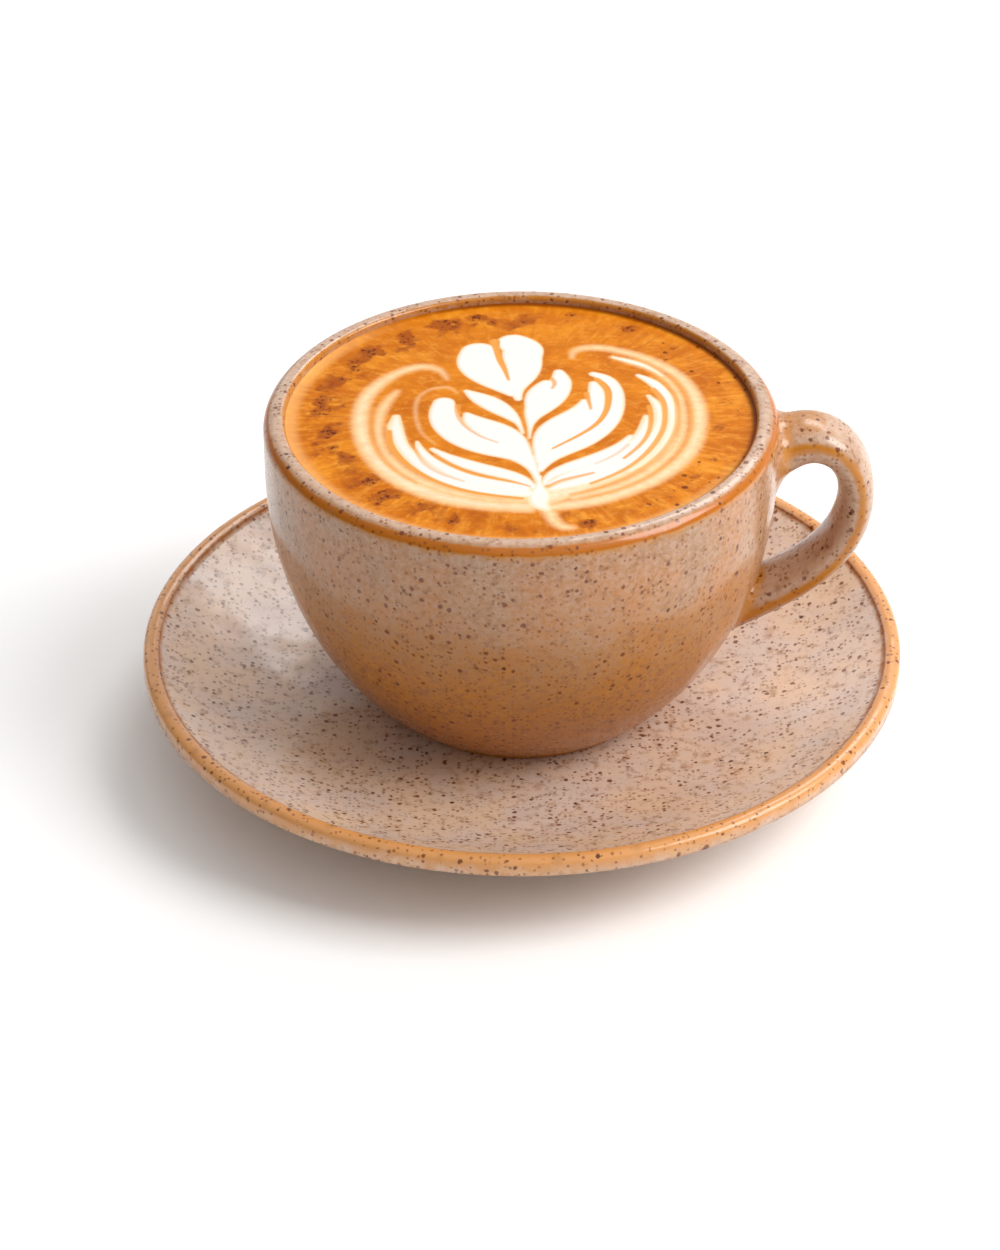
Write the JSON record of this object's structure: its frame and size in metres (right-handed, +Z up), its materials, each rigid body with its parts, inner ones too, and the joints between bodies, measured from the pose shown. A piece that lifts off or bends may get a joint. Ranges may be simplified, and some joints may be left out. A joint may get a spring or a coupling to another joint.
{
  "type": "latte in a cup on a saucer",
  "caption": "Milk coffee with a poured leaf pattern, filled to the brim of a wide speckled stoneware cup with a loop handle, standing on its saucer.",
  "frame": {"origin": "middle of the saucer's foot ring, on the surface that it stands on", "axes": "+Z up through the cup's axis, +X from the cup's axis out through the handle"},
  "size_m": [0.152, 0.152, 0.0718],
  "materials": {
    "saucer_glaze": "glossy speckled glaze",
    "cup_glaze": "glossy speckled glaze",
    "drink": "moist milk foam"
  },
  "bodies": {
    "root": {"saucer": "saucer_glaze", "cup": "cup_glaze", "latte": "drink"}
  },
  "joints": []
}
